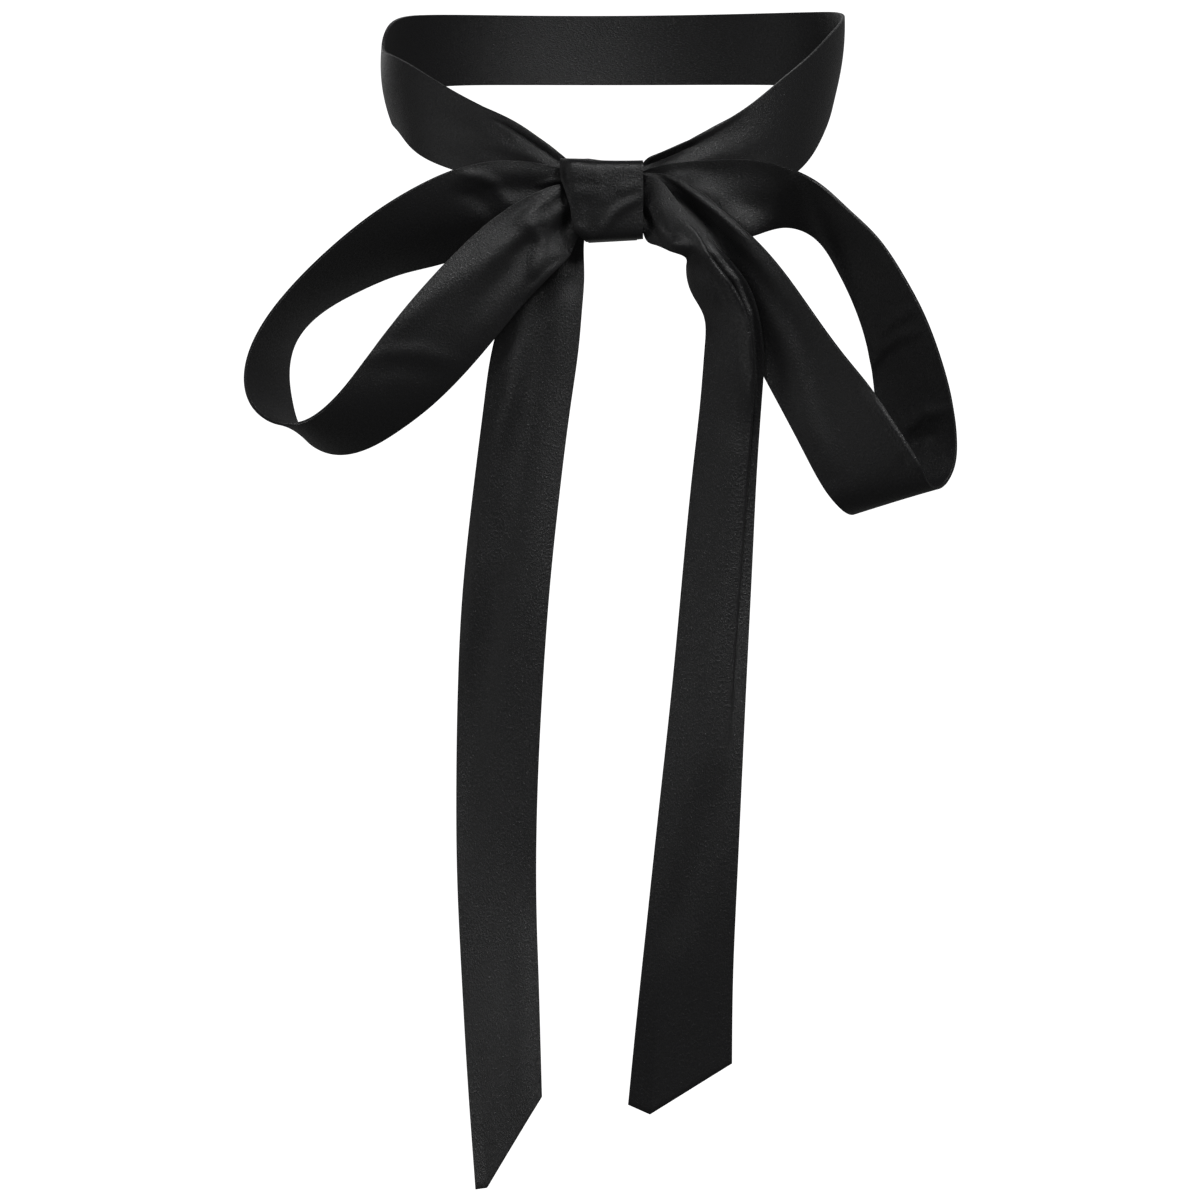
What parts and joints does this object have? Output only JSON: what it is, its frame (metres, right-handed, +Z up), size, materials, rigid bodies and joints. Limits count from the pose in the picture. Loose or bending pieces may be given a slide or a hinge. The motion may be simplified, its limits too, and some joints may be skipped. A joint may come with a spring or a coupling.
{
  "type": "self-tie bow tie",
  "caption": "Long ribbon bow tie in black satin, tied in a soft bow with drooping loops, a flat knot and long slanted tails, with its whole neck band.",
  "frame": {"origin": "centre of the neck ring, where the band sits round the neck", "axes": "+X to the right in the front view, +Y away from the viewer towards the nape, +Z up"},
  "size_m": [0.2131, 0.1566, 0.3585],
  "materials": {
    "satin": "black ribbon satin with a soft sheen and a fine woven grain"
  },
  "bodies": {
    "root": {"neck_band": "satin", "left_loop": "satin", "right_loop": "satin", "left_tail": "satin", "right_tail": "satin", "knot": "satin"}
  },
  "joints": []
}
